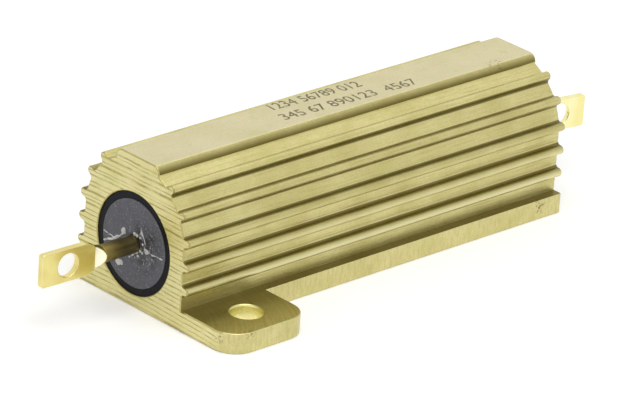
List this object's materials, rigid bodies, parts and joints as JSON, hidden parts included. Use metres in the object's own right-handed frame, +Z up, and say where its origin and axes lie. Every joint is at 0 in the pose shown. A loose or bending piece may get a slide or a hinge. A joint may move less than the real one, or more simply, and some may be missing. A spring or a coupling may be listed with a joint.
{
  "type": "aluminium housed power resistor",
  "caption": "Chassis-mount wirewound power resistor: ribbed aluminium housing with diagonal mounting feet, moulded element and a flat solder lug at each end.",
  "frame": {"origin": "centre of the housing's mounting face, halfway between its ends and its sides", "axes": "+X along the resistor towards the far lug, +Z up from the mounting face; the feet are at the -X -Y and +X +Y corners"},
  "size_m": [0.0711, 0.029, 0.0154],
  "materials": {
    "housing_aluminium": "pale gold anodised extrusion, satin, sawn ends",
    "black_liner": "black compound, slight gloss",
    "grey_moulding": "dark slate moulding compound, matt",
    "core_ceramic": "unglazed white ceramic",
    "resistance_wire": "fine close-wound resistance wire",
    "cap_steel": "drawn stainless steel",
    "terminal_metal": "plated, gold coloured, smooth"
  },
  "bodies": {
    "root": {"housing": "housing_aluminium", "bore_liner": "black_liner", "moulded_body": "grey_moulding", "ceramic_core": "core_ceramic", "resistance_winding": "resistance_wire", "near_end_cap": "cap_steel", "far_end_cap": "cap_steel", "near_terminal": "terminal_metal", "far_terminal": "terminal_metal"}
  },
  "joints": []
}
